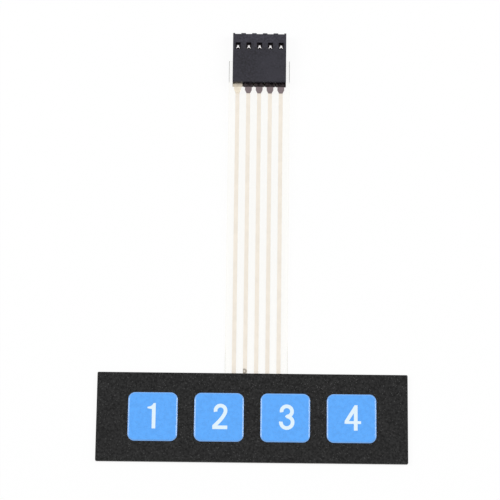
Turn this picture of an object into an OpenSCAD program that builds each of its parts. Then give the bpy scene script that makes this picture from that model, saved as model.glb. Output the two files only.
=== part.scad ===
// Membrane keypad: one row of four raised keys on a laminated film panel,
// with a flat film tail that ends in a five-way socket connector.
// The panel lies on its back, +Y runs along the tail and +Z out of the keys.

/* [Panel] */
// Width of the panel
panel_w = 70.5; // [66:0.5:90]
// Height of the panel
panel_h = 20.5; // [20:0.5:30]
// Radius of the panel's corners
panel_corner_r = 0.3; // [0.1:0.1:2]

/* [Keys] */
// Side of a square key
key_w = 11.2; // [10:0.05:13]
// Distance between the centres of neighbouring keys
key_pitch = 15; // [14:0.25:16]
// Radius of a key's corners
key_corner_r = 1.6; // [0.8:0.1:3]
// Height by which a key stands above the panel's face
key_raise = 0.2; // [0.1:0.05:0.4]
// Width of the sloping shoulder round a key
key_shoulder = 0.35; // [0.2:0.05:0.6]

/* [Numerals] */
// Height of a numeral
numeral_h = 5.85; // [4:0.05:7]
// Width of a numeral's strokes
numeral_stroke = 0.84; // [0.5:0.02:1]
// Height of a numeral's middle above the middle of its key
numeral_y = 0.15; // [-1:0.05:1]

/* [Layers] */
// Thickness of the release liner
liner_t = 0.08; // [0.05:0.01:0.15]
// Thickness of the rear adhesive
rear_adhesive_t = 0.1; // [0.05:0.01:0.2]
// Thickness of each circuit film
circuit_film_t = 0.125; // [0.075:0.005:0.2]
// Thickness of the spacer film
spacer_t = 0.15; // [0.1:0.01:0.25]
// Thickness of the overlay adhesive
overlay_adhesive_t = 0.05; // [0.03:0.01:0.1]
// Thickness of the overlay film
overlay_t = 0.2; // [0.12:0.01:0.3]
// Thickness of the printed silver
silver_t = 0.025; // [0.01:0.005:0.04]
// Thickness of the printed colours
print_t = 0.02; // [0.01:0.005:0.03]

/* [Switches] */
// Diameter of the spacer's opening under a key
opening_d = 8.6; // [7.6:0.1:9.4]
// Diameter of the shorting pad under a key
pad_d = 7.4; // [6:0.1:8.2]
// Width of the vent channel that joins the openings
vent_w = 1; // [0.5:0.1:2]
// Width of one finger of a contact comb
finger_w = 0.45; // [0.3:0.05:0.6]
// Gap between two fingers of a contact comb
finger_gap = 0.4; // [0.3:0.05:0.5]
// Length of the fingers of a contact comb
finger_l = 4.4; // [3:0.1:4.8]

/* [Tracks] */
// Width of the tracks inside the panel
track_w = 0.6; // [0.4:0.05:0.8]
// Gap between tracks that run side by side inside the panel
track_gap = 0.5; // [0.3:0.05:0.6]
// Distance from the panel's edge to the outermost track
track_margin = 0.9; // [0.6:0.1:1.2]
// Width of the tracks on the tail
tail_track_w = 0.95; // [0.6:0.05:1.3]

/* [Tail] */
// Film beyond the end of the tracks
track_end = 0.6; // [0.3:0.1:0.8]
// Length of the tail from the panel's edge to the end of its film
tail_l = 75.3; // [50:0.1:150]
// Film beside the outermost track, from the track's middle
tail_side = 2.07; // [1.5:0.01:4]
// Sideways place of the tail's middle on the panel
tail_x = 0.8; // [-3:0.1:3]

/* [Connector] */
// Distance between neighbouring contacts
pitch = 2.54; // [2.3:0.01:3]
// Length of the housing
housing_l = 12.2; // [11.5:0.05:16]
// Thickness of the housing
housing_t = 2.6; // [2.5:0.05:4]
// Housing beside the outermost contact, from the contact's middle
housing_side = 1.2; // [1.1:0.05:2]
// Chamfer along the housing's long edges
housing_chamfer = 0.2; // [0.05:0.05:0.3]
// Distance by which the jaw under the film stands out past the jaw above it
jaw_lip = 0.45; // [0.1:0.05:0.7]
// Length of film that lies inside the housing
film_grip = 5.5; // [5:0.1:6.2]
// Wall between two contact cavities
cavity_wall = 0.7; // [0.5:0.05:0.8]
// Thickness of the wall at the mating end
mouth_wall = 0.6; // [0.4:0.05:0.8]
// Side of the square header pin that a contact takes
pin_w = 0.64; // [0.5:0.01:0.7]
// Clearance round a header pin in its hole
pin_clear = 0.15; // [0.1:0.01:0.2]
// Depth of the lead-in round a pin hole, and of the notch above it
lead_in = 0.3; // [0.1:0.05:0.4]
// Width of the notch in the edge above a pin hole
notch_w = 1.45; // [1:0.05:1.8]
// Width of a latch window
window_w = 1.2; // [1:0.05:1.3]
// Length of a latch window
window_l = 1.66; // [1.4:0.02:2]
// Distance from the mating end to the middle of the latch windows
window_y = 3.25; // [2.6:0.05:3.6]

/* [Terminals] */
// Thickness of the terminal metal
metal_t = 0.2; // [0.15:0.01:0.25]
// Gap between neighbouring crimp plates
crimp_gap = 0.28; // [0.26:0.02:0.7]
// Length of the crimp plate that shows outside the housing
crimp_show = 1; // [0.3:0.05:1.5]
// Length of the tongue
tongue_l = 1.5; // [0.8:0.05:2]
// Width of the tongue where it leaves the crimp plate
tongue_root_w = 1.6; // [1:0.05:1.7]
// Length of the tongue's straight sides, before it tapers
tongue_side = 0.75; // [0.3:0.05:0.75]
// Width of the tongue's tip
tongue_tip_w = 0.85; // [0.5:0.05:1]
// Length of the contact box
box_l = 4.8; // [4:0.1:5]
// Height of the contact box
box_h = 1.7; // [1.5:0.05:1.8]
// Width of the neck between crimp plate and contact box
neck_w = 1; // [0.7:0.05:1.1]
// Width of the latch tang's free end
tang_w = 0.9; // [0.6:0.02:0.94]
// Width of the latch tang from its root to where it flares
tang_root_w = 0.44; // [0.3:0.02:0.5]
// Length over which the latch tang flares to its free end
tang_flare = 0.55; // [0.3:0.05:0.6]
// Depth of the notch in the latch tang's free end
tang_notch = 0.35; // [0.2:0.05:0.6]
// Gap between the latch tang's free end and the window's wall
tang_gap = 0.15; // [0.1:0.05:0.5]
// Length of one crimp tine along the film
tine_l = 1.1; // [0.8:0.05:1.3]
// Distance between the two pairs of tines
tine_step = 2.2; // [1.4:0.1:2.5]
// Distance from the film's end to the nearer pair of tines
tine_inset = 1; // [0.8:0.05:1.2]
// Reach of a tine's foot under the film
foot_l = 0.5; // [0.3:0.05:0.6]
// Squeeze of the contact leaves on a header pin
leaf_squeeze = 0.1; // [0.04:0.02:0.2]
// Clearance of a terminal in its cavity
terminal_clear = 0.1; // [0.05:0.01:0.15]
// Clearance of a tine in its slot in the film
tine_clear = 0.05; // [0.02:0.01:0.1]

/* [Hidden] */
$fn = 48;
NUMERALS = ["1", "2", "3", "4"];
// Sideways place of each numeral on its key
NUMERAL_X = [-0.26, 0.23, 0.34, 0.3];
KEYS = [0 : len(NUMERALS) - 1];
PINS = [0 : len(NUMERALS)];
function numbered(name) = [for (n = [1 : len(NUMERALS)]) str(name, "_", n)];

black = [0.18, 0.18, 0.18];
blue = [0.4, 0.67, 0.98];
white = [0.93, 0.96, 0.99];
clear = [0.86, 0.88, 0.87, 0.5];
silver = [0.92, 0.88, 0.83];
carbon = [0.15, 0.15, 0.16];
glue = [0.75, 0.75, 0.72];
paper = [0.93, 0.91, 0.86];
housing_black = [0.24, 0.24, 0.26];
tin = [0.72, 0.7, 0.68];

// Small overrun of a cut past the face that it opens, or of a joined shape into its neighbour
over = 0.05;

// Heights of the layers, from the back of the panel
rear_adhesive_z = liner_t;
lower_z = rear_adhesive_z + rear_adhesive_t;
spacer_z = lower_z + circuit_film_t;
upper_z = spacer_z + spacer_t;
overlay_adhesive_z = upper_z + circuit_film_t;
overlay_z = overlay_adhesive_z + overlay_adhesive_t;
face_z = overlay_z + overlay_t;
key_top_z = face_z + key_raise;

// Places along the tail, measured from the middle of the panel
panel_top = panel_h / 2;
film_end = panel_top + tail_l;
housing_y = film_end - film_grip;
mating_y = housing_y + housing_l;
lip_y = housing_y - jaw_lip;
crimp_y = housing_y - crimp_show;
tongue_y = crimp_y - tongue_l;
// Flat stretch of the tail before the tongues, and of its root inside the panel
tail_flat = 1.5;
tail_w = len(NUMERALS) * pitch + 2 * tail_side;

// Heights inside the connector, where the film lies at half the housing's height
grip_z = (housing_t - circuit_film_t) / 2;
plate_z = grip_z + circuit_film_t + silver_t;
foot_z = grip_z - metal_t;
slot_low = foot_z - terminal_clear;
slot_high = plate_z + metal_t + terminal_clear;
slot_y = film_end + terminal_clear;
tail_lift = grip_z - lower_z;

// Contact cavities and the boxes in them
cavity_w = pitch - cavity_wall;
cavity_h = box_h + 2 * terminal_clear;
cavity_z = (housing_t - cavity_h) / 2;
box_w = cavity_w - 2 * terminal_clear;
box_z = cavity_z + terminal_clear;
box_front = mating_y - mouth_wall - terminal_clear;
box_rear = box_front - box_l;
window_mid = mating_y - window_y;
mouth_w = pin_w + 2 * pin_clear;
housing_w = len(NUMERALS) * pitch + 2 * housing_side;

// Crimps, and the leaves inside the contact boxes with the length of their flared ends
crimp_w = pitch - crimp_gap;
crimp_end = film_end - metal_t;
leaf_w = box_w - 2 * metal_t - 2 * terminal_clear;
leaf_flare = 0.8;

// Lanes of the tracks above and below the keys
lane_step = track_w + track_gap;
function lane_y(n) = panel_top - track_margin - track_w / 2 - n * lane_step;
common_x = -panel_w / 2 + track_margin + track_w / 2;
common_y = -panel_top + track_margin + track_w / 2;

// Contact combs: fingers alternate between the key's own track and the common one
finger_count = 7;
finger_step = finger_w + finger_gap;
comb_w = (finger_count - 1) * finger_step + finger_w;
bus_y = (finger_l + finger_gap) / 2;

function key_x(i) = (i - (len(NUMERALS) - 1) / 2) * key_pitch;
function pin_x(i) = tail_x + (i - len(NUMERALS) / 2) * pitch;

// Curves and pen strokes for the numerals
function arc(c, r, a0, a1, steps = 32) =
  [for (i = [0 : steps]) c + r * [cos(a0 + (a1 - a0) * i / steps), sin(a0 + (a1 - a0) * i / steps)]];
function bend(a, b, c, steps = 8) =
  [for (i = [0 : steps]) let (t = i / steps) a * (1 - t) ^ 2 + b * 2 * t * (1 - t) + c * t ^ 2];
function across(path, i) =
  let (d = path[min(i + 1, len(path) - 1)] - path[max(i - 1, 0)])
  [-d[1], d[0]] / norm(d);
function side(path, shift) = [for (i = [0 : len(path) - 1]) path[i] + across(path, i) * shift];
function reversed(path) = [for (i = [len(path) - 1 : -1 : 0]) path[i]];
function rest(path) = [for (i = [1 : len(path) - 1]) path[i]];
function pen(path, w) = concat(side(path, -w / 2), reversed(side(path, w / 2)));

// Rounded rectangle about the origin
module rounded(w, h, r) {
  square([w, h - 2 * r], center = true);
  square([w - 2 * r, h], center = true);
  for (x = [-1, 1], y = [-1, 1])
    translate([x * (w / 2 - r), y * (h / 2 - r)]) circle(r);
}

// One whole layer of the panel
module sheet(z, t) {
  translate([0, 0, z]) linear_extrude(t) rounded(panel_w, panel_h, panel_corner_r);
}

// Places its children at one key
module at_key(i, z) {
  translate([key_x(i), 0, z]) children();
}

// Raised form of a key: a low block with sloping sides and rounded corners
module key_form() {
  straight = key_w - 2 * key_corner_r;
  for (turn = [0, 90])
    rotate(turn) rotate([90, 0, 0]) linear_extrude(straight, center = true)
      polygon([
        [-key_w / 2, 0], [key_w / 2, 0],
        [key_w / 2 - key_shoulder, key_raise], [key_shoulder - key_w / 2, key_raise]
      ]);
  for (x = [-1, 1], y = [-1, 1])
    translate([x * straight / 2, y * straight / 2, 0])
      cylinder(h = key_raise, r1 = key_corner_r, r2 = key_corner_r - key_shoulder);
}

// Outlines of the numerals, each about the middle of its height
module numeral_one() {
  right = 0.158 * numeral_h;
  left = -0.158 * numeral_h;
  top = numeral_h / 2;
  flag_top = 0.355 * numeral_h;
  flag_low = 0.29 * numeral_h;
  flag_root = 0.262 * numeral_h;
  stem = right - numeral_stroke;
  polygon(concat(
    [[stem, -top], [right, -top], [right, top]],
    bend([stem + 0.4 * numeral_stroke, top], [stem, flag_top], [left, flag_top]),
    [[left, flag_low], [stem, flag_root]]
  ));
}

module numeral_two() {
  half = numeral_stroke / 2;
  r = 0.265 * numeral_h - half;
  bowl = [0.02 * numeral_h, numeral_h / 2 - half - r];
  foot_w = 0.58 * numeral_h;
  side_x = bowl[0] + r;
  heel = [0.3 * half - foot_w / 2, half - numeral_h / 2];
  spine = bend([side_x, bowl[1]], [side_x, 0.02 * numeral_h], heel, 16);
  intersection() {
    polygon(pen(concat(arc(bowl, r, 195, 10), spine), numeral_stroke));
    square([foot_w, numeral_h], center = true);
  }
  translate([-foot_w / 2, -numeral_h / 2]) square([foot_w, numeral_stroke]);
}

module numeral_three() {
  half = numeral_stroke / 2;
  span = numeral_h - numeral_stroke;
  r_top = 0.235 * span;
  r_low = span / 2 - r_top;
  waist = numeral_h / 2 - half - 2 * r_top;
  top = [0, waist + r_top];
  low = [0, waist - r_low];
  // Height above the lower middle at which the two outer rounds cross
  cross_y = (span ^ 2 / 4 + (r_low + half) ^ 2 - (r_top + half) ^ 2) / span;
  low_turn = asin(cross_y / (r_low + half));
  top_turn = -asin((span / 2 - cross_y) / (r_top + half));
  polygon(concat(
    arc(top, r_top - half, 190, -90), [[-half, waist]], arc(low, r_low - half, 90, -186),
    arc(low, r_low + half, -186, low_turn), rest(arc(top, r_top + half, top_turn, 190))
  ));
}

module numeral_four() {
  top = numeral_h / 2;
  left = -0.322 * numeral_h;
  right = 0.315 * numeral_h;
  stem = 0.18 * numeral_h;
  bar_low = -0.236 * numeral_h;
  bar_top = bar_low + 0.75 * numeral_stroke;
  stem_left = stem - numeral_stroke;
  peak = stem_left + 0.2 * numeral_stroke;
  inner = left + 1.15 * numeral_stroke;
  slope = (top - bar_top) / (peak - left);
  difference() {
    polygon([
      [stem_left, -top], [stem, -top], [stem, bar_low], [right, bar_low], [right, bar_top],
      [stem, bar_top], [stem, top], [peak, top], [left, bar_top], [left, bar_low], [stem_left, bar_low]
    ]);
    polygon([
      [inner, bar_top], [stem_left, bar_top], [stem_left, bar_top + slope * (stem_left - inner)]
    ]);
  }
}

module numeral_shape(i) {
  translate([NUMERAL_X[i], numeral_y]) {
    if (i == 0) numeral_one();
    if (i == 1) numeral_two();
    if (i == 2) numeral_three();
    if (i == 3) numeral_four();
  }
}

// Black overlay with the keys pressed up out of it
module overlay_film() {
  color(black) difference() {
    union() {
      sheet(overlay_z, overlay_t);
      for (i = KEYS) at_key(i, face_z) key_form();
    }
    for (i = KEYS) at_key(i, overlay_z) key_form();
  }
}

// Blue print over one key, open where its numeral is printed
module key_field(i) {
  color(blue) difference() {
    at_key(i, face_z) union() {
      linear_extrude(print_t) rounded(key_w, key_w, key_corner_r);
      translate([0, 0, print_t]) key_form();
    }
    at_key(i, face_z) key_form();
    at_key(i, key_top_z - over) linear_extrude(print_t + 2 * over) numeral_shape(i);
  }
}

module numeral(i) {
  color(white) at_key(i, key_top_z) linear_extrude(print_t) numeral_shape(i);
}

// Glue under the overlay, open under the keys
module overlay_adhesive() {
  color(glue) difference() {
    sheet(overlay_adhesive_z, overlay_adhesive_t);
    for (i = KEYS)
      at_key(i, overlay_adhesive_z - over) linear_extrude(overlay_adhesive_t + 2 * over)
        rounded(key_w, key_w, key_corner_r);
  }
}

module upper_circuit_film() {
  color(clear) sheet(upper_z, circuit_film_t);
}

// Shorting pad on the underside of the upper circuit film
module contact_pad(i) {
  color(carbon) at_key(i, upper_z - silver_t) cylinder(h = silver_t, d = pad_d);
}

// Spacer: open at the switches, and pressed round the tracks on its underside
module spacer_film() {
  vent_l = key_x(len(NUMERALS) - 1) - key_x(0);
  color(glue) difference() {
    sheet(spacer_z, spacer_t);
    for (i = KEYS) at_key(i, spacer_z - over) cylinder(h = spacer_t + 2 * over, d = opening_d);
    translate([0, 0, spacer_z - over]) linear_extrude(spacer_t + 2 * over)
      square([vent_l, vent_w], center = true);
    translate([0, 0, spacer_z - over]) linear_extrude(silver_t + over) {
      common_plan();
      for (i = KEYS) key_plan(i);
    }
  }
}

// Half of a contact comb: facing 1 hangs from the key's track, facing -1 stands on the common one
module comb(i, facing) {
  translate([key_x(i), 0]) {
    translate([0, facing * (bus_y + track_w / 2)]) square([comb_w, track_w], center = true);
    for (f = [facing > 0 ? 0 : 1 : 2 : finger_count - 1])
      translate([(f - (finger_count - 1) / 2) * finger_step, facing * finger_gap / 2])
        square([finger_w, finger_l], center = true);
  }
}

// Straight stretch of track between two points of a right-angled run
module run(a, b, w = track_w) {
  low = [min(a[0], b[0]), min(a[1], b[1])];
  high = [max(a[0], b[0]), max(a[1], b[1])];
  translate(low - [w, w] / 2) square(high - low + [w, w]);
}

// Stretch of track from the tail down to its lane
module drop(pin, lane) {
  bottom = lane_y(lane) - track_w / 2;
  translate([pin_x(pin) - tail_track_w / 2, bottom]) square([tail_track_w, panel_top - bottom]);
}

// Lane that a key's track takes: outer keys use the upper one
function lane_of(i) = abs(i - (len(NUMERALS) - 1) / 2) > 1 ? 1 : 2;

module common_plan() {
  last = len(NUMERALS) - 1;
  drop(0, 0);
  run([pin_x(0), lane_y(0)], [common_x, lane_y(0)]);
  run([common_x, lane_y(0)], [common_x, common_y]);
  run([common_x, common_y], [key_x(last), common_y]);
  for (i = KEYS) {
    run([key_x(i), common_y], [key_x(i), -bus_y - track_w / 2]);
    comb(i, -1);
  }
}

module key_plan(i) {
  drop(i + 1, lane_of(i));
  run([pin_x(i + 1), lane_y(lane_of(i))], [key_x(i), lane_y(lane_of(i))]);
  run([key_x(i), lane_y(lane_of(i))], [key_x(i), bus_y + track_w / 2]);
  comb(i, 1);
}

// Rise of the tail from the panel to the connector, flat at both ends
tail_steps = 24;
curve_end = tongue_y - tail_flat;
function ease(u) = u * u * (3 - 2 * u);
function tail_line(z, y_end) = concat(
  [for (s = [0 : tail_steps]) let (u = s / tail_steps)
    [panel_top + u * (curve_end - panel_top), z + tail_lift * ease(u)]],
  [[y_end, z + tail_lift]]
);

// Strip of film or print that follows the tail's rise
module strip(x, w, z, t, y_start, y_end) {
  line = concat([[y_start, z]], tail_line(z, y_end));
  lifted = [for (p = line) p + [0, t]];
  translate([x - w / 2, 0, 0]) rotate([90, 0, 90]) linear_extrude(w)
    polygon(concat(line, reversed(lifted)));
}

// Lower circuit film: the panel's sheet and the tail in one piece, pierced at the crimps
module lower_circuit_film() {
  color(clear) difference() {
    union() {
      sheet(lower_z, circuit_film_t);
      strip(tail_x, tail_w, lower_z, circuit_film_t, panel_top - tail_flat, film_end);
    }
    for (p = PINS) tine_legs(p, tine_clear);
  }
}

// A printed track: its plan inside the panel and its stretch along the tail
module track(pin) {
  color(silver) {
    translate([0, 0, spacer_z]) linear_extrude(silver_t) children();
    strip(pin_x(pin), tail_track_w, spacer_z, silver_t, panel_top - track_margin, film_end - track_end);
  }
}

module track_common() {
  track(0) common_plan();
}

module track_key(i) {
  track(i + 1) key_plan(i);
}

module rear_adhesive() {
  color(glue) sheet(rear_adhesive_z, rear_adhesive_t);
}

module release_liner() {
  color(paper) sheet(0, liner_t);
}

// Bar along X with its four long edges chamfered and a lip under the film
module housing_body() {
  c = housing_chamfer;
  mid = housing_t / 2;
  translate([tail_x - housing_w / 2, 0, 0]) rotate([90, 0, 90]) linear_extrude(housing_w)
    polygon([
      [lip_y + c, 0], [mating_y - c, 0], [mating_y, c], [mating_y, housing_t - c],
      [mating_y - c, housing_t], [housing_y + c, housing_t], [housing_y, housing_t - c],
      [housing_y, mid], [lip_y, mid], [lip_y, c]
    ]);
}

// Square funnel that guides a header pin into its hole
module pin_funnel() {
  wide = mouth_w / 2 + lead_in;
  narrow = mouth_w / 2;
  profile = [[-lead_in, narrow], [over, wide + over], [over, -wide - over], [-lead_in, -narrow]];
  intersection() {
    rotate([90, 0, 90]) linear_extrude(2 * wide + 4 * over, center = true) polygon(profile);
    linear_extrude(2 * wide + 4 * over, center = true) polygon([for (p = profile) [p[1], p[0]]]);
  }
}

// Housing: two jaws over the film, five cavities, pin holes with notched lead-ins, and latch windows
module connector_housing() {
  mid = housing_t / 2;
  color(housing_black) difference() {
    housing_body();
    translate([tail_x - housing_w / 2 - over, lip_y - over, slot_low])
      cube([housing_w + 2 * over, slot_y - lip_y + over, slot_high - slot_low]);
    for (p = PINS) {
      translate([pin_x(p) - cavity_w / 2, slot_y - over, cavity_z])
        cube([cavity_w, mating_y - mouth_wall - slot_y + over, cavity_h]);
      translate([pin_x(p) - mouth_w / 2, mating_y - mouth_wall - over, mid - mouth_w / 2])
        cube([mouth_w, mouth_wall + 2 * over, mouth_w]);
      translate([pin_x(p), mating_y, mid]) pin_funnel();
      translate([pin_x(p) - notch_w / 2, mating_y - lead_in, mid])
        cube([notch_w, lead_in + over, mid + over]);
      translate([pin_x(p) - window_w / 2, window_mid - window_l / 2, housing_t - cavity_z - over])
        cube([window_w, window_l, cavity_z + 2 * over]);
    }
  }
}

// Places its children at the four tines of one terminal, with X pointing away from its middle
module at_tines(pin) {
  for (x = [0, 1], n = [0, 1])
    translate([pin_x(pin), film_end - tine_inset - tine_l - n * tine_step, foot_z])
      mirror([x, 0, 0]) translate([crimp_w / 2, 0, 0]) children();
}

// Legs of the tines through the film, grown by a clearance when they cut its slots
module tine_legs(pin, grow) {
  at_tines(pin) translate([-metal_t - grow, -grow, -grow])
    cube([metal_t + 2 * grow, tine_l + 2 * grow, plate_z - foot_z + metal_t + grow]);
}

// Feet of the tines, folded in under the film
module tine_feet(pin) {
  at_tines(pin) translate([-metal_t - foot_l, 0, 0]) cube([metal_t + foot_l, tine_l, metal_t]);
}

// Crimp plate over the track, tapered to a tongue at one end and to the neck at the other
module crimp_plate(pin) {
  half = [
    [tongue_tip_w, tongue_y], [tongue_root_w, crimp_y - tongue_side], [tongue_root_w, crimp_y],
    [crimp_w, crimp_y],
    [crimp_w, crimp_end - (crimp_w - neck_w) / 2], [neck_w, crimp_end], [neck_w, slot_y]
  ];
  right = [for (p = half) [p[0] / 2, p[1]]];
  left = [for (p = right) [-p[0], p[1]]];
  translate([pin_x(pin), 0, plate_z]) linear_extrude(metal_t) polygon(concat(right, reversed(left)));
}

// Bar of the terminal's metal, cut by a side outline and centred on its pin
module bent(pin, w, outline) {
  translate([pin_x(pin) - w / 2, 0, 0]) rotate([90, 0, 90]) linear_extrude(w) polygon(outline);
}

// One of the two leaves that pinch a header pin: down from the roof and flared at the mouth
module contact_leaf(pin) {
  high = box_z + box_h - metal_t - over;
  low = (housing_t + pin_w - leaf_squeeze) / 2;
  pinch_y = box_front - leaf_flare;
  bent(pin, leaf_w, [
    [box_rear, high], [pinch_y, low], [box_front, low + leaf_flare / 2],
    [box_front, low + leaf_flare / 2 + metal_t], [pinch_y, low + metal_t], [box_rear, high + metal_t]
  ]);
}

// Latch tang in a window: rises to the wire side, where it flares and is notched
module latch_tang(pin) {
  roof_z = box_z + box_h;
  free = window_mid - window_l / 2 + tang_gap;
  root = window_mid + window_l / 2 - terminal_clear;
  top = housing_t - cavity_z / 2;
  intersection() {
    bent(pin, tang_w, [
      [root, roof_z - metal_t], [root, roof_z], [free, top], [free, top - metal_t],
      [root - metal_t, roof_z - metal_t]
    ]);
    translate([pin_x(pin), 0, 0]) linear_extrude(housing_t) polygon([
      [tang_root_w / 2, root], [-tang_root_w / 2, root], [-tang_root_w / 2, free + tang_flare],
      [-tang_w / 2, free], [0, free + tang_notch], [tang_w / 2, free],
      [tang_root_w / 2, free + tang_flare]
    ]);
  }
}

// Terminal: contact box with its leaves and latch tang, neck, and crimp
module terminal(pin) {
  floor_z = box_z + metal_t;
  color(tin) {
    difference() {
      translate([pin_x(pin) - box_w / 2, box_rear, box_z]) cube([box_w, box_l, box_h]);
      translate([pin_x(pin) - box_w / 2 + metal_t, box_rear - over, floor_z])
        cube([box_w - 2 * metal_t, box_l + 2 * over, box_h - 2 * metal_t]);
    }
    contact_leaf(pin);
    translate([0, 0, housing_t]) mirror([0, 0, 1]) contact_leaf(pin);
    latch_tang(pin);
    bent(pin, neck_w, [
      [slot_y - over, plate_z], [slot_y, plate_z], [box_rear, box_z], [box_rear + over, box_z],
      [box_rear + over, floor_z], [box_rear, floor_z], [slot_y, plate_z + metal_t],
      [slot_y - over, plate_z + metal_t]
    ]);
    crimp_plate(pin);
    tine_legs(pin, 0);
    tine_feet(pin);
  }
}

overlay_film();
for (i = KEYS) key_field(i);
for (i = KEYS) numeral(i);
overlay_adhesive();
upper_circuit_film();
for (i = KEYS) contact_pad(i);
spacer_film();
lower_circuit_film();
track_common();
for (i = KEYS) track_key(i);
rear_adhesive();
release_liner();
connector_housing();
for (p = PINS) terminal(p);
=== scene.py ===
"""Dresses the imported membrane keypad: printed overlay, clear tail with silver tracks, and connector."""

import math

import bmesh
import bpy
from bpy.props import FloatProperty, FloatVectorProperty, IntProperty, PointerProperty
from mathutils import Euler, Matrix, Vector


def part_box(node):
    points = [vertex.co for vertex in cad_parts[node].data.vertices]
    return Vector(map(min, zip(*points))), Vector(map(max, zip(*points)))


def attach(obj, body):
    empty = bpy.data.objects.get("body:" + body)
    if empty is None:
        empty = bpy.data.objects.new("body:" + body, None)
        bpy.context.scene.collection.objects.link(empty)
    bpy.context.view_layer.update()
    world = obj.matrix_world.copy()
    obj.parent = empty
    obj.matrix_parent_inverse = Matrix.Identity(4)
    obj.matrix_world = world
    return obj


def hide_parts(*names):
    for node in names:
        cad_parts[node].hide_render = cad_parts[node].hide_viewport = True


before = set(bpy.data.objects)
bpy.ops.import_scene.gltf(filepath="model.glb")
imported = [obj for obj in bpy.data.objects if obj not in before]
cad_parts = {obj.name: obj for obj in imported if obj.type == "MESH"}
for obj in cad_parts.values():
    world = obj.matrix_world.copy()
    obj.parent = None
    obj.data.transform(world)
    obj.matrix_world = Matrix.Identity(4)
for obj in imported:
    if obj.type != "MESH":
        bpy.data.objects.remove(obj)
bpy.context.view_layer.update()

bl_info = {
    "name": "Membrane Keypad",
    "version": (1, 0, 0),
    "blender": (4, 5, 0),
    "location": "View3D > Sidebar > Keypad",
    "description": "Builds the finishes of a four-key membrane keypad with a flat film tail",
    "category": "Object",
}

MM = 0.001
KEY_NUMBERS = range(1, 5)
PIN_NUMBERS = range(1, 6)
BODY = "root"

# Places that the frame gives
OVERLAY_LOW, OVERLAY_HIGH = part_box("overlay_film")
FACE_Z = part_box("key_field_1")[0].z
FILM_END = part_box("lower_circuit_film")[1].y
HOUSING_LOW, HOUSING_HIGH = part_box("connector_housing")
TAIL_X = (HOUSING_LOW.x + HOUSING_HIGH.x) / 2

# Wire end of the connector: the lower jaw's lip, the upper jaw's edge and the crimp plates outside it
JAW_LIP = 0.45 * MM
WIRE_EDGE = HOUSING_LOW.y + JAW_LIP
CRIMP_SHOW = 1.0 * MM

# Distance under which points of a mesh are welded, and the share of a key's shoulder outside its edge
WELD = 1e-7
SHOULDER_FOOT = 0.2

# Camera and stage, in millimetres, degrees and metres
CAMERA_PLACE = (0.47, -109.25, 523.46)
CAMERA_TURN = (15.878, 0.146, 0.629)
SENSOR_WIDTH = 36
FLOOR_HALF = 2
FLOOR_GAP = 0.02 * MM
LAMP_SIZE = 0.32
LAMP_ASIDE, LAMP_BEHIND, LAMP_HEIGHT = 0.44, 0.12, 0.38
LAMP_TARGET = (0, 0.03, 0)


def srgb(red, green, blue):
    """A colour as it is seen on screen, from 0 to 255, in the linear form that shaders take."""
    return tuple(
        value / 12.92 if value <= 0.04045 else ((value + 0.055) / 1.055) ** 2.4
        for value in (red / 255, green / 255, blue / 255)
    )


def colour_setting(name, description, value):
    return FloatVectorProperty(
        name=name, description=description, subtype="COLOR", size=3, min=0, max=1, default=value
    )


def length_setting(name, description, value):
    return FloatProperty(
        name=name,
        description=description,
        subtype="DISTANCE",
        unit="LENGTH",
        min=0,
        default=value,
        precision=6,
    )


def plain_setting(name, description, value):
    return FloatProperty(name=name, description=description, min=0, default=value)


def share_setting(name, description, value):
    return FloatProperty(name=name, description=description, subtype="FACTOR", min=0, max=1, default=value)


class KeypadPrintSettings(bpy.types.PropertyGroup):
    """Sizes and colours of the printed overlay"""

    black: colour_setting("Overlay black", "Colour of the overlay between the keys", srgb(27, 27, 27))
    blue: colour_setting("Key blue", "Colour of the printed key fields", srgb(87, 166, 248))
    # Painted highlight: the paler blue along each key's embossed shoulder
    shoulder_highlight: colour_setting("Key rim", "Colour of the stretched print on a key's shoulder", srgb(124, 176, 240))
    white: colour_setting("Numeral white", "Colour of the printed numerals", srgb(223, 240, 250))
    corner: length_setting("Key corner", "Radius of a key's corners", 1.6 * MM)
    shoulder: length_setting("Key shoulder", "Width of the rounded shoulder of a key", 0.5 * MM)
    edge: length_setting("Cut edge", "Rounding of the overlay's cut edge", 0.05 * MM)
    panel_corner: length_setting("Panel corner", "Radius of the panel's corners", 0.3 * MM)
    film: length_setting("Print lift", "Height of the blue print above the overlay", 0.012 * MM)
    rim_width: length_setting("Key rim width", "Width of the paler band inside a key's edge", 0.4 * MM)
    steps: IntProperty(name="Shoulder steps", description="Face rings across a shoulder", min=3, default=9)
    grain: length_setting("Grain", "Size of the overlay's fine texture", 0.5 * MM)
    mottle: length_setting("Key mottle", "Size of the soft mottling of the printed keys", 1.0 * MM)


class KeypadTailSettings(bpy.types.PropertyGroup):
    """Colours of the tail and of the layers that show at the panel's edge"""

    film: colour_setting("Clear film", "Tint of the clear polyester", srgb(250, 243, 205))
    opacity: share_setting("Film opacity", "Share of the background that one face of the film hides", 0.025)
    cut: colour_setting("Film edge", "Colour of the film's cut edge", srgb(165, 165, 163))
    cut_width: length_setting("Film edge width", "Width of the band along the film's cut edge", 0.14 * MM)
    gap: length_setting("Print gap", "Air between the film and the print that lies on it", 0.002 * MM)
    silver: colour_setting("Silver ink", "Colour of the printed tracks", srgb(234, 226, 214))
    stain: colour_setting("Ink stain", "Colour of the stain on the second track", srgb(158, 150, 138))
    stain_size: length_setting("Stain size", "Radius of the stain on the second track", 0.75 * MM)
    smoky: colour_setting("Laminate edge", "Colour of the dark layers at the panel's edge", srgb(40, 40, 41))
    paper: colour_setting("Liner paper", "Colour of the release liner", srgb(236, 231, 219))


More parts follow.
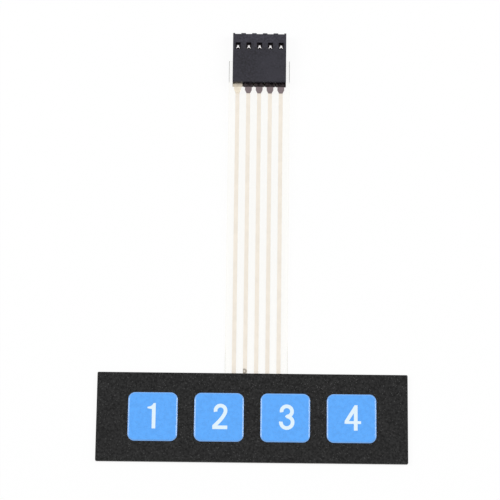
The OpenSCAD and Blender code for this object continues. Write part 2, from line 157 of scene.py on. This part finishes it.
class KeypadConnectorSettings(bpy.types.PropertyGroup):
    """Sizes and colours of the connector"""

    plastic: colour_setting("Housing plastic", "Colour of the moulded housing", srgb(40, 39, 46))
    tin: colour_setting("Terminal tin", "Colour of the plated terminals", srgb(240, 238, 239))
    # Painted reflection: the mid-grey that the plated tongues reflect
    tongue: colour_setting("Terminal tongue", "Colour of the tongues beside the crimps", srgb(126, 114, 116))
    shade: colour_setting("Terminal shade", "Colour of the contact boxes in the housing", srgb(30, 26, 28))
    # Painted shade and dark reflection of the housing on the crimp plates
    crimp_shade: colour_setting("Terminal tarnish", "Colour of the dulled metal at the crimps", srgb(34, 30, 31))
    # Painted light: the first terminal's tongue and plate are a lit copy of the others, reflecting white
    cream: colour_setting("First tongue", "Colour of the first terminal's tongue", srgb(241, 231, 212))
    cream_crimp: colour_setting("First crimp", "Colour of the first terminal's plate", srgb(206, 196, 178))
    housing_edge: length_setting("Housing edge", "Rounding of the housing's edges", 0.09 * MM)
    metal_edge: length_setting("Metal edge", "Rounding of the terminals' edges", 0.03 * MM)


class KeypadStageSettings(bpy.types.PropertyGroup):
    """Camera, floor and light"""

    lens: plain_setting("Lens", "Focal length in millimetres on a 36 mm sensor", 169.54)
    ambient: plain_setting("Ambient light", "Strength of the surrounding light", 0.5)
    right_power: plain_setting("Right lamp", "Power of the lamp on the right in watts", 1.56)
    left_power: plain_setting("Left lamp", "Power of the lamp on the left in watts", 1.56)
    floor_glow: share_setting("Floor white", "Share of the floor's look that is plain white", 0.92)
    floor: colour_setting("Floor", "Colour of the floor", (0.93, 0.93, 0.93))


# Mesh helpers


def new_piece(name, bm, material, replaced):
    """Turns a bmesh into a piece that rides on the part and stands for the CAD nodes it replaces."""
    mesh = bpy.data.meshes.new(name)
    bmesh.ops.recalc_face_normals(bm, faces=bm.faces)
    bm.to_mesh(mesh)
    bm.free()
    piece = bpy.data.objects.new(name, mesh)
    bpy.context.scene.collection.objects.link(piece)
    mesh.materials.append(material)
    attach(piece, BODY)
    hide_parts(*replaced)
    return piece


def rounded_loop(centre, half_width, half_height, radius, steps=12):
    """Points of a rounded rectangle, anticlockwise from its right side."""
    points = []
    for turn in range(4):
        side_x = 1 if turn in (0, 3) else -1
        side_y = 1 if turn in (0, 1) else -1
        corner = Vector((side_x * (half_width - radius), side_y * (half_height - radius)))
        for step in range(steps + 1):
            angle = math.radians(90 * (turn + step / steps))
            points.append(centre + corner + radius * Vector((math.cos(angle), math.sin(angle))))
    return points


def add_loop(bm, points, z):
    return [bm.verts.new((point.x, point.y, z)) for point in points]


def join_loops(bm, lower, upper, smooth=True):
    """Band of faces between two loops with as many points."""
    for i in range(len(lower)):
        j = (i + 1) % len(lower)
        bm.faces.new((lower[i], lower[j], upper[j], upper[i])).smooth = smooth


def loop_edges(bm, loop):
    pairs = [(loop[i - 1], loop[i]) for i in range(len(loop))]
    return [bm.edges.get(pair) or bm.edges.new(pair) for pair in pairs]


def ease(share):
    return share * share * (3 - 2 * share)


def key_place(number):
    """Middle and half width of one key, from its printed field."""
    low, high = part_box(f"key_field_{number}")
    return (low.xy + high.xy) / 2, (high.x - low.x) / 2


def shoulder_rings(settings, first, steps):
    """Inset and share of the full height for each ring across a key's shoulder, starting at an inset."""
    start = -SHOULDER_FOOT * settings.shoulder
    rings = []
    for step in range(steps + 1):
        inset = first + (start + settings.shoulder - first) * step / steps
        share = min(max((inset - start) / settings.shoulder, 0), 1)
        rings.append((inset, ease(share)))
    return rings


def key_loops(bm, settings, number, first, lift):
    """Loops over one key's shoulder, from the inset called first up to the flat top."""
    centre, half = key_place(number)
    rise = OVERLAY_HIGH.z - FACE_Z
    loops = []
    for inset, share in shoulder_rings(settings, first, settings.steps):
        points = rounded_loop(centre, half - inset, half - inset, settings.corner - inset)
        loops.append(add_loop(bm, points, FACE_Z + share * rise + lift))
    for lower, upper in zip(loops, loops[1:]):
        join_loops(bm, lower, upper)
    bm.faces.new(loops[-1])
    return loops


def softened_copy(name, node, width, segments, material):
    """Copy of a CAD node with its edges rounded by a bevel, which stands for that node."""
    bm = bmesh.new()
    bm.from_mesh(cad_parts[node].data)
    bmesh.ops.remove_doubles(bm, verts=bm.verts, dist=WELD)
    bmesh.ops.dissolve_limit(bm, angle_limit=math.radians(1), verts=bm.verts, edges=bm.edges)
    piece = new_piece(name, bm, material, [node])
    bevel = piece.modifiers.new("rounded_edges", "BEVEL")
    bevel.width = width
    bevel.segments = segments
    bevel.limit_method = "ANGLE"
    bevel.angle_limit = math.radians(20)
    bevel.harden_normals = True
    bevel.use_clamp_overlap = True
    return piece


def thinned_copy(name, node, inset, material):
    """Copy of a CAD node, a hair smaller all round, so that clear faces don't meet the print on them."""
    bm = bmesh.new()
    bm.from_mesh(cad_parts[node].data)
    bmesh.ops.remove_doubles(bm, verts=bm.verts, dist=WELD)
    bmesh.ops.dissolve_limit(bm, angle_limit=math.radians(0.1), verts=bm.verts, edges=bm.edges)
    bm.normal_update()
    moves = [(vertex, vertex.normal * inset) for vertex in bm.verts]
    for vertex, move in moves:
        vertex.co -= move
    return new_piece(name, bm, material, [node])


def finish_node(node, material):
    """Gives a carried-over CAD node its finish."""
    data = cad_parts[node].data
    data.materials.clear()
    data.materials.append(material)


def tail_half_width():
    """Half the width of the tail, measured on the film's far end."""
    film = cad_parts["lower_circuit_film"].data
    far = [vertex.co.x for vertex in film.vertices if vertex.co.y > FILM_END - 0.01 * MM]
    return (max(far) - min(far)) / 2


# Shader helpers


class Shading:
    """One material's node tree, with short ways to add and link nodes."""

    def __init__(self, tree):
        self.tree = tree

    def node(self, kind, **settings):
        made = self.tree.nodes.new(kind)
        for name, value in settings.items():
            setattr(made, name, value)
        return made

    def feed(self, socket, value):
        """Links an output to a socket, or writes a plain value on it."""
        if isinstance(value, bpy.types.NodeSocket):
            self.tree.links.new(value, socket)
        else:
            socket.default_value = value

    def math(self, operation, first, second=0.0, third=0.0):
        made = self.node("ShaderNodeMath", operation=operation)
        for socket, value in zip(made.inputs, (first, second, third)):
            self.feed(socket, value)
        return made.outputs[0]

    def ramp(self, value, low, high, to_low=0.0, to_high=1.0):
        made = self.node("ShaderNodeMapRange", interpolation_type="SMOOTHSTEP")
        for name, given in (
            ("Value", value), ("From Min", low), ("From Max", high), ("To Min", to_low), ("To Max", to_high)
        ):
            self.feed(made.inputs[name], given)
        return made.outputs["Result"]

    def blend(self, factor, first, second):
        made = self.node("ShaderNodeMix", data_type="RGBA")
        self.feed(made.inputs[0], factor)
        for socket, value in ((made.inputs[6], first), (made.inputs[7], second)):
            self.feed(socket, (*value, 1) if isinstance(value, (tuple, list)) else value)
        return made.outputs[2]

    def noise(self, vector, scale, detail=2.0, roughness=0.5):
        made = self.node("ShaderNodeTexNoise")
        self.feed(made.inputs["Vector"], vector)
        self.feed(made.inputs["Scale"], scale)
        made.inputs["Detail"].default_value = detail
        made.inputs["Roughness"].default_value = roughness
        return made.outputs["Fac"]

    def place(self):
        return self.node("ShaderNodeTexCoord").outputs["Object"]

    def axes(self):
        made = self.node("ShaderNodeSeparateXYZ")
        self.feed(made.inputs[0], self.place())
        return made.outputs

    def group(self, tree, **values):
        made = self.node("ShaderNodeGroup", node_tree=tree)
        for name, value in values.items():
            self.feed(made.inputs[name.replace("_", " ")], value)
        return made.outputs

    def bump(self, height, distance, strength=1.0):
        made = self.node("ShaderNodeBump")
        made.inputs["Strength"].default_value = strength
        made.inputs["Distance"].default_value = distance
        self.feed(made.inputs["Height"], height)
        return made.outputs["Normal"]


def start_group(name, inputs, outputs):
    """Empty shader group with float inputs that have defaults, and float outputs."""
    tree = bpy.data.node_groups.new(name, "ShaderNodeTree")
    for label, value in inputs.items():
        socket = tree.interface.new_socket(name=label, in_out="INPUT", socket_type="NodeSocketFloat")
        socket.default_value = value
    for label in outputs:
        tree.interface.new_socket(name=label, in_out="OUTPUT", socket_type="NodeSocketFloat")
    shading = Shading(tree)
    return tree, shading, shading.node("NodeGroupInput").outputs, shading.node("NodeGroupOutput").inputs


def film_grain_group():
    """Fine texture of pressed film or moulded plastic: tone, bright specks that are painted glints of the
    texture, and height.
    """
    if "film_grain" in bpy.data.node_groups:
        return bpy.data.node_groups["film_grain"]
    tree, shading, given, out = start_group(
        "film_grain", {"Grain Size": 0.4 * MM, "Speck Share": 0.1}, ("Tone", "Speck", "Height")
    )
    place = shading.place()
    scale = shading.math("DIVIDE", 1.0, given["Grain Size"])
    coarse = shading.noise(place, scale, 3.0, 0.65)
    fine = shading.noise(place, shading.math("MULTIPLY", scale, 3.7), 2.0, 0.6)
    mixed = shading.math("MULTIPLY_ADD", fine, 0.35, shading.math("MULTIPLY", coarse, 0.65))
    shading.feed(out["Tone"], shading.ramp(mixed, 0.36, 0.64))
    cells = shading.node("ShaderNodeTexVoronoi")
    shading.feed(cells.inputs["Vector"], place)
    shading.feed(cells.inputs["Scale"], shading.math("MULTIPLY", scale, 2.2))
    lot = shading.node("ShaderNodeSeparateColor")
    shading.feed(lot.inputs[0], cells.outputs["Color"])
    chosen = shading.math("GREATER_THAN", shading.math("ADD", lot.outputs[0], given["Speck Share"]), 1.0)
    spot = shading.ramp(cells.outputs["Distance"], 0.15, 0.5, 1, 0)
    shading.feed(out["Speck"], shading.math("MULTIPLY", chosen, spot))
    shading.feed(out["Height"], mixed)
    return tree


def metal_bloom_group():
    """Cloudy dulling of plated or printed metal: a mask and a fine height."""
    if "metal_bloom" in bpy.data.node_groups:
        return bpy.data.node_groups["metal_bloom"]
    tree, shading, given, out = start_group("metal_bloom", {"Cloud Size": 1.0 * MM}, ("Cloud", "Height"))
    place = shading.place()
    scale = shading.math("DIVIDE", 1.0, given["Cloud Size"])
    cloud = shading.noise(place, scale, 4.0, 0.6)
    shading.feed(out["Cloud"], shading.ramp(cloud, 0.35, 0.65))
    shading.feed(out["Height"], shading.noise(place, shading.math("MULTIPLY", scale, 9.0), 2.0, 0.5))
    return tree


def start_material(name, **sockets):
    """New material with its Principled shader's plain values set, and its shading helper."""
    material = bpy.data.materials.new(name)
    material.use_nodes = True
    shading = Shading(material.node_tree)
    shader = material.node_tree.nodes["Principled BSDF"].inputs
    for label, value in sockets.items():
        shader[label.replace("_", " ")].default_value = value
    return material, shading, shader


def overlay_material(settings):
    material, shading, shader = start_material("overlay_black_film", Specular_IOR_Level=0.15)
    grain = shading.group(film_grain_group(), Grain_Size=settings.grain, Speck_Share=0.09)
    black = Vector(settings.black)
    tone = shading.blend(grain["Tone"], tuple(black * 0.05), tuple(black * 2.0))
    # Bright specks: painted glints of the film's texture
    shading.feed(shader["Base Color"], shading.blend(grain["Speck"], tone, tuple(black * 8)))
    shading.feed(shader["Roughness"], shading.ramp(grain["Tone"], 0, 1, 0.62, 0.5))
    shading.feed(shader["Normal"], shading.bump(grain["Height"], 0.02 * MM, 0.6))
    return material


def key_material(settings):
    material, shading, shader = start_material("key_blue_print", Specular_IOR_Level=0.5)
    grain = shading.group(film_grain_group(), Grain_Size=settings.mottle, Speck_Share=0.0)
    shoulder_highlight = shading.node("ShaderNodeAttribute", attribute_name="shoulder_highlight").outputs["Fac"]
    blue = Vector(settings.blue)
    tone = shading.blend(grain["Tone"], tuple(blue * 0.91), tuple(blue * 1.06))
    # Painted highlight on each key's shoulder, blended in along the band inside its edge
    shading.feed(shader["Base Color"], shading.blend(shoulder_highlight, tone, tuple(settings.shoulder_highlight)))
    satin = shading.ramp(grain["Tone"], 0, 1, 0.34, 0.26)
    shading.feed(shader["Roughness"], shading.math("MULTIPLY_ADD", shoulder_highlight, -0.12, satin))
    shading.feed(shader["Normal"], shading.bump(grain["Height"], 0.008 * MM, 0.5))
    return material


def numeral_material(settings):
    material, shading, shader = start_material("numeral_white_print", Specular_IOR_Level=0.5)
    grain = shading.group(film_grain_group(), Grain_Size=settings.grain, Speck_Share=0.0)
    white = Vector(settings.white)
    shading.feed(shader["Base Color"], shading.blend(grain["Tone"], tuple(white * 0.96), tuple(white)))
    shading.feed(shader["Roughness"], shading.ramp(grain["Tone"], 0, 1, 0.5, 0.42))
    shading.feed(shader["Normal"], shading.bump(grain["Height"], 0.006 * MM, 0.5))
    return material


def laminate_material(name, colour):
    """Dark glue or film as it shows at the panel's die-cut edge."""
    material, shading, shader = start_material(name, Specular_IOR_Level=0.35)
    grain = shading.group(film_grain_group(), Grain_Size=0.2 * MM, Speck_Share=0.04)
    tone = Vector(colour)
    shading.feed(shader["Base Color"], shading.blend(grain["Tone"], tuple(tone * 0.7), tuple(tone * 1.3)))
    shading.feed(shader["Roughness"], shading.ramp(grain["Tone"], 0, 1, 0.55, 0.35))
    shading.feed(shader["Normal"], shading.bump(grain["Height"], 0.01 * MM, 0.5))
    return material


def film_material(settings):
    """Clear polyester: see-through on the tail, dark where it lies between the panel's layers."""
    material, shading, shader = start_material("clear_polyester", Roughness=0.22, Specular_IOR_Level=0.5)
    x, y, _ = shading.axes()
    panel = shading.ramp(y, OVERLAY_HIGH.y - 0.02 * MM, OVERLAY_HIGH.y + 0.02 * MM, 1, 0)
    cloud = shading.group(metal_bloom_group(), Cloud_Size=9 * MM)
    side = tail_half_width() - settings.cut_width
    aside = shading.math("ABSOLUTE", shading.math("SUBTRACT", x, TAIL_X))
    # Grey band along the cut edge: painted shading of the clear film's edge, stronger near the panel and
    # near the wire end
    cut = shading.ramp(aside, side, side + 0.4 * settings.cut_width)
    near_panel = shading.ramp(y, OVERLAY_HIGH.y + 4 * MM, OVERLAY_HIGH.y + 8 * MM, 0.6, 0.1)
    near_end = shading.ramp(y, WIRE_EDGE - 0.2 * MM, WIRE_EDGE + 0.8 * MM, 0.1, 1.3)
    cut = shading.math("MULTIPLY", cut, shading.math("MAXIMUM", near_panel, near_end))
    tint = shading.blend(cut, tuple(settings.film), tuple(settings.cut))
    shading.feed(shader["Base Color"], shading.blend(panel, tint, tuple(settings.smoky)))
    gloss = shading.node("ShaderNodeFresnel")
    gloss.inputs["IOR"].default_value = 1.5
    clear = shading.math("ADD", settings.opacity, shading.math("MULTIPLY", gloss.outputs[0], 0.25))
    alpha = shading.math("ADD", clear, shading.math("MULTIPLY", cut, 0.45))
    shading.feed(shader["Alpha"], shading.math("MAXIMUM", alpha, panel))
    shading.feed(shader["Normal"], shading.bump(cloud["Cloud"], 0.02 * MM, 0.3))
    return material


def stain_mask(shading, settings):
    """Ring-shaped stain on the second track, where it comes out of the panel."""
    low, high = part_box("terminal_2")
    away = shading.node("ShaderNodeVectorMath", operation="DISTANCE")
    shading.feed(away.inputs[0], shading.place())
    away.inputs[1].default_value = (
        (low.x + high.x) / 2 - 0.15 * MM, OVERLAY_HIGH.y + 0.62 * MM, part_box("track_key_1")[0].z
    )
    size = settings.stain_size
    core = shading.ramp(away.outputs["Value"], 0.1 * size, 0.45 * size, 0.25, 1)
    reach = shading.ramp(away.outputs["Value"], 0.6 * size, size, 1, 0)
    return shading.math("MULTIPLY", core, reach)


def silver_material(settings):
    material, shading, shader = start_material("silver_ink", Specular_IOR_Level=0.4, Metallic=0.15)
    bloom = shading.group(metal_bloom_group(), Cloud_Size=2.2 * MM)
    grain = shading.group(film_grain_group(), Grain_Size=0.12 * MM, Speck_Share=0.05)
    silver = Vector(settings.silver)
    cloudy = shading.blend(bloom["Cloud"], tuple(silver * 0.95), tuple(silver))
    # Bright specks: painted glints of the ink's texture
    inked = shading.blend(grain["Speck"], cloudy, tuple(silver * 1.05))
    stained = shading.blend(stain_mask(shading, settings), inked, tuple(settings.stain))
    shading.feed(shader["Base Color"], stained)
    shading.feed(shader["Roughness"], shading.ramp(grain["Tone"], 0, 1, 0.6, 0.45))
    shading.feed(shader["Normal"], shading.bump(grain["Height"], 0.006 * MM, 0.5))
    return material


def paper_material(settings):
    material, shading, shader = start_material("liner_paper", Specular_IOR_Level=0.3)
    grain = shading.group(film_grain_group(), Grain_Size=0.5 * MM, Speck_Share=0.02)
    bloom = shading.group(metal_bloom_group(), Cloud_Size=6 * MM)
    paper = Vector(settings.paper)
    cloudy = shading.blend(bloom["Cloud"], tuple(paper * 0.93), tuple(paper))
    fibre = shading.math("MULTIPLY", grain["Tone"], 0.35)
    shading.feed(shader["Base Color"], shading.blend(fibre, cloudy, tuple(paper * 0.86)))
    shading.feed(shader["Roughness"], shading.ramp(grain["Tone"], 0, 1, 0.62, 0.48))
    shading.feed(shader["Normal"], shading.bump(grain["Height"], 0.02 * MM, 0.5))
    return material


def housing_material(settings):
    material, shading, shader = start_material("moulded_black", Specular_IOR_Level=0.25)
    grain = shading.group(film_grain_group(), Grain_Size=0.45 * MM, Speck_Share=0.03)
    bloom = shading.group(metal_bloom_group(), Cloud_Size=6 * MM)
    plastic = Vector(settings.plastic)
    tone = shading.blend(grain["Tone"], tuple(plastic * 0.45), tuple(plastic * 1.35))
    cloudy = shading.blend(shading.math("MULTIPLY", bloom["Cloud"], 0.7), tone, tuple(plastic * 1.4))
    # Lighter towards the mating end
    pale = shading.blend(grain["Tone"], tuple(plastic * 0.8), tuple(plastic * 2.3))
    towards_mating_end = shading.ramp(shading.axes()["Y"], HOUSING_HIGH.y - 5 * MM, HOUSING_HIGH.y - 1.5 * MM, 0, 0.8)
    paler_at_mating_end = shading.blend(towards_mating_end, cloudy, pale)
    # Bright specks: painted glints of the moulded texture
    shading.feed(shader["Base Color"], shading.blend(grain["Speck"], paler_at_mating_end, tuple(plastic * 3)))
    shading.feed(shader["Roughness"], shading.ramp(grain["Tone"], 0, 1, 0.5, 0.38))
    shading.feed(shader["Normal"], shading.bump(grain["Height"], 0.012 * MM, 0.5))
    return material


def tin_material(name, settings, tongue, crimp):
    """Tin plate, bright on the tangs' tips, with painted shade on the contact boxes below them; the colours
    given for the crimp and the tongue paint the shade and reflections seen there.
    """
    material, shading, shader = start_material(name, Metallic=1.0)
    bloom = shading.group(metal_bloom_group(), Cloud_Size=0.8 * MM)
    _, y, z = shading.axes()
    crimp_start = WIRE_EDGE - CRIMP_SHOW
    tang_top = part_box("terminal_1")[1].z
    tang = shading.ramp(z, tang_top - 0.2 * MM, tang_top - 0.14 * MM)
    crimp_zone = shading.ramp(y, crimp_start - 0.05 * MM, crimp_start + 0.05 * MM)
    inside = shading.ramp(y, WIRE_EDGE + 5.8 * MM, WIRE_EDGE + 6.2 * MM)
    # Crimp plates and tongues take the given colours of painted shade and reflection
    outer = shading.blend(crimp_zone, tuple(tongue), tuple(crimp))
    # Painted shade on the contact boxes, with the tin's own colour on the tangs' tips
    plated = shading.blend(inside, outer, shading.blend(tang, tuple(settings.shade), tuple(settings.tin)))
    cloudy = shading.math("MULTIPLY", bloom["Cloud"], shading.ramp(inside, 0, 1, 0.25, 0))
    shading.feed(shader["Base Color"], shading.blend(cloudy, plated, tuple(settings.tongue)))
    shading.feed(shader["Roughness"], shading.ramp(bloom["Cloud"], 0, 1, 0.22, 0.4))
    shading.feed(shader["Normal"], shading.bump(bloom["Height"], 0.006 * MM, 0.5))
    return material


# Operators, one for each piece or group of like pieces


class KEYPAD_OT_overlay(bpy.types.Operator):
    """Build the black overlay film with its four raised keys"""

    bl_idname = "keypad.overlay"
    bl_label = "Overlay Film"

    def execute(self, context):
        settings = context.scene.keypad_print
        bm = bmesh.new()
        centre = (OVERLAY_LOW.xy + OVERLAY_HIGH.xy) / 2
        half = (OVERLAY_HIGH.xy - OVERLAY_LOW.xy) / 2
        outline = rounded_loop(centre, half.x, half.y, settings.panel_corner)
        inner = rounded_loop(
            centre, half.x - settings.edge, half.y - settings.edge, settings.panel_corner - settings.edge
        )
        bottom = add_loop(bm, outline, OVERLAY_LOW.z)
        side = add_loop(bm, outline, FACE_Z - settings.edge)
        face = add_loop(bm, inner, FACE_Z)
        join_loops(bm, bottom, side, smooth=False)
        join_loops(bm, side, face)
        bm.faces.new(reversed(bottom))
        rims = loop_edges(bm, face)
        for number in KEY_NUMBERS:
            foot = key_loops(bm, settings, number, -SHOULDER_FOOT * settings.shoulder, 0)[0]
            rims += loop_edges(bm, foot)
        bmesh.ops.triangle_fill(bm, use_beauty=True, edges=rims, normal=(0, 0, 1))
        new_piece("overlay_film_embossed", bm, overlay_material(settings), ["overlay_film"])
        return {"FINISHED"}


class KEYPAD_OT_key_fields(bpy.types.Operator):
    """Lay the blue print over the four keys"""

    bl_idname = "keypad.key_fields"
    bl_label = "Key Fields"

    def execute(self, context):
        settings = context.scene.keypad_print
        material = key_material(settings)
        for number in KEY_NUMBERS:
            bm = bmesh.new()
            shoulder_highlight = bm.verts.layers.float.new("shoulder_highlight")
            under = key_loops(bm, settings, number, 0, settings.film / 4)
            over = key_loops(bm, settings, number, 0, settings.film)
            join_loops(bm, under[0], over[0], smooth=False)
            # Each ring's share of the painted shoulder highlight
            for loops in (under, over):
                for (inset, _), loop in zip(shoulder_rings(settings, 0, settings.steps), loops):
                    for vertex in loop:
                        vertex[shoulder_highlight] = 1 - ease(min(inset / settings.rim_width, 1))
            new_piece(f"key_print_{number}", bm, material, [f"key_field_{number}"])
        return {"FINISHED"}


class KEYPAD_OT_numerals(bpy.types.Operator):
    """Finish the printed numerals"""

    bl_idname = "keypad.numerals"
    bl_label = "Numerals"

    def execute(self, context):
        material = numeral_material(context.scene.keypad_print)
        for number in KEY_NUMBERS:
            finish_node(f"numeral_{number}", material)
        return {"FINISHED"}


class KEYPAD_OT_layers(bpy.types.Operator):
    """Finish the laminated layers and the release liner"""

    bl_idname = "keypad.layers"
    bl_label = "Panel Layers"

    def execute(self, context):
        settings = context.scene.keypad_tail
        smoky = Vector(settings.smoky)
        glue = laminate_material("laminate_glue", smoky)
        spacer = laminate_material("laminate_spacer", smoky * 0.8)
        film = laminate_material("laminate_film", smoky * 1.5)
        carbon = laminate_material("carbon_ink", smoky * 0.6)
        finish_node("overlay_adhesive", glue)
        finish_node("rear_adhesive", glue)
        finish_node("spacer_film", spacer)
        finish_node("upper_circuit_film", film)
        for number in KEY_NUMBERS:
            finish_node(f"contact_pad_{number}", carbon)
        finish_node("release_liner", paper_material(settings))
        return {"FINISHED"}


class KEYPAD_OT_tail(bpy.types.Operator):
    """Finish the clear tail and its silver tracks"""

    bl_idname = "keypad.tail"
    bl_label = "Tail and Tracks"

    def execute(self, context):
        settings = context.scene.keypad_tail
        film = film_material(settings)
        thinned_copy("clear_tail_film", "lower_circuit_film", settings.gap, film)
        silver = silver_material(settings)
        finish_node("track_common", silver)
        for number in KEY_NUMBERS:
            finish_node(f"track_key_{number}", silver)
        return {"FINISHED"}


class KEYPAD_OT_connector(bpy.types.Operator):
    """Build the connector's moulded housing"""

    bl_idname = "keypad.connector"
    bl_label = "Connector Housing"

    def execute(self, context):
        settings = context.scene.keypad_connector
        material = housing_material(settings)
        edge = settings.housing_edge
        softened_copy("housing_moulded", "connector_housing", edge, 2, material)
        return {"FINISHED"}


class KEYPAD_OT_terminals(bpy.types.Operator):
    """Build the five plated terminals"""

    bl_idname = "keypad.terminals"
    bl_label = "Terminals"

    def execute(self, context):
        settings = context.scene.keypad_connector
        # Tin with painted shade on the crimps and a painted grey reflection on the tongues
        shaded_tin = tin_material("tin_plate", settings, settings.tongue, settings.crimp_shade)
        # Lit copy of the tin for the first terminal, with painted light on its tongue and plate
        bright = tin_material("tin_plate_bright", settings, settings.cream, settings.cream_crimp)
        for number in PIN_NUMBERS:
            material = bright if number == 1 else shaded_tin
            name = f"terminal_pressed_{number}"
            softened_copy(name, f"terminal_{number}", settings.metal_edge, 2, material)
        return {"FINISHED"}


def background_rays(shading):
    """One where a ray comes from the camera, a mirror-like surface or clear film."""
    path = shading.node("ShaderNodeLightPath").outputs
    seen = shading.math("MAXIMUM", path["Is Camera Ray"], path["Is Glossy Ray"])
    return shading.math("MAXIMUM", seen, path["Is Transmission Ray"])


def floor_material(settings):
    material, shading, shader = start_material("white_table", Roughness=0.8, Specular_IOR_Level=0.2)
    tone = shading.noise(shading.place(), 40.0, 2.0, 0.5)
    pale = Vector(settings.floor)
    shading.feed(shader["Base Color"], shading.blend(tone, tuple(pale * 0.995), tuple(pale)))
    glow = shading.node("ShaderNodeEmission")
    mix = shading.node("ShaderNodeMixShader")
    shading.feed(mix.inputs[0], shading.math("MULTIPLY", background_rays(shading), settings.floor_glow))
    nodes = material.node_tree.nodes
    shading.feed(mix.inputs[1], nodes["Principled BSDF"].outputs[0])
    shading.feed(mix.inputs[2], glow.outputs[0])
    shading.feed(nodes["Material Output"].inputs["Surface"], mix.outputs[0])
    return material


def add_lamp(name, power, side):
    """Soft round lamp beside the part, on its right where side is 1 and on its left where it is -1."""
    light = bpy.data.lights.new(name, "AREA")
    light.shape = "DISK"
    light.size = LAMP_SIZE
    light.energy = power
    lamp = bpy.data.objects.new(name, light)
    place = Vector((side * LAMP_ASIDE, LAMP_BEHIND, LAMP_HEIGHT))
    lamp.location = place
    lamp.rotation_euler = (Vector(LAMP_TARGET) - place).to_track_quat("-Z", "Y").to_euler()
    bpy.context.scene.collection.objects.link(lamp)


class KEYPAD_OT_stage(bpy.types.Operator):
    """Set the camera, the pale floor and the soft light"""

    bl_idname = "keypad.stage"
    bl_label = "Stage"

    def execute(self, context):
        scene = context.scene
        settings = scene.keypad_stage
        scene.view_settings.view_transform = "Standard"

        camera = bpy.data.objects.new("photo_camera", bpy.data.cameras.new("photo_camera"))
        camera.data.lens = settings.lens
        camera.data.sensor_width = SENSOR_WIDTH
        camera.location = Vector(CAMERA_PLACE) * MM
        camera.rotation_mode = "ZYX"
        camera.rotation_euler = Euler([math.radians(turn) for turn in CAMERA_TURN], "ZYX")
        scene.collection.objects.link(camera)
        scene.camera = camera

        bm = bmesh.new()
        bmesh.ops.create_grid(bm, x_segments=2, y_segments=2, size=FLOOR_HALF)
        mesh = bpy.data.meshes.new("table_top")
        bm.to_mesh(mesh)
        bm.free()
        mesh.materials.append(floor_material(settings))
        floor = bpy.data.objects.new("table_top", mesh)
        floor.location.z = -FLOOR_GAP
        scene.collection.objects.link(floor)

        world = bpy.data.worlds.new("soft_studio")
        world.use_nodes = True
        scene.world = world
        shading = Shading(world.node_tree)
        strength = shading.ramp(background_rays(shading), 0, 1, settings.ambient, 1)
        shading.feed(world.node_tree.nodes["Background"].inputs["Strength"], strength)
        world.node_tree.nodes["Background"].inputs["Color"].default_value = (1, 1, 1, 1)

        add_lamp("right_lamp", settings.right_power, 1)
        add_lamp("left_lamp", settings.left_power, -1)
        return {"FINISHED"}


OPERATORS = (
    KEYPAD_OT_overlay,
    KEYPAD_OT_key_fields,
    KEYPAD_OT_numerals,
    KEYPAD_OT_layers,
    KEYPAD_OT_tail,
    KEYPAD_OT_connector,
    KEYPAD_OT_terminals,
    KEYPAD_OT_stage,
)
SETTINGS = {
    "keypad_print": KeypadPrintSettings,
    "keypad_tail": KeypadTailSettings,
    "keypad_connector": KeypadConnectorSettings,
    "keypad_stage": KeypadStageSettings,
}


class KEYPAD_PT_sidebar(bpy.types.Panel):
    """Lists the keypad's pieces and their settings"""

    bl_idname = "KEYPAD_PT_sidebar"
    bl_label = "Membrane Keypad"
    bl_space_type = "VIEW_3D"
    bl_region_type = "UI"
    bl_category = "Keypad"

    def draw(self, context):
        for operator in OPERATORS:
            self.layout.operator(operator.bl_idname)
        for name, kind in SETTINGS.items():
            box = self.layout.box()
            for setting in kind.__annotations__:
                box.prop(getattr(context.scene, name), setting)


def register():
    for kind in (*SETTINGS.values(), *OPERATORS, KEYPAD_PT_sidebar):
        bpy.utils.register_class(kind)
    for name, kind in SETTINGS.items():
        setattr(bpy.types.Scene, name, PointerProperty(type=kind))


def unregister():
    for name in SETTINGS:
        delattr(bpy.types.Scene, name)
    for kind in reversed((*SETTINGS.values(), *OPERATORS, KEYPAD_PT_sidebar)):
        bpy.utils.unregister_class(kind)


def main():
    register()
    bpy.ops.keypad.overlay()
    bpy.ops.keypad.key_fields()
    bpy.ops.keypad.numerals()
    bpy.ops.keypad.layers()
    bpy.ops.keypad.tail()
    bpy.ops.keypad.connector()
    bpy.ops.keypad.terminals()
    bpy.ops.keypad.stage()


if __name__ == "__main__":
    main()
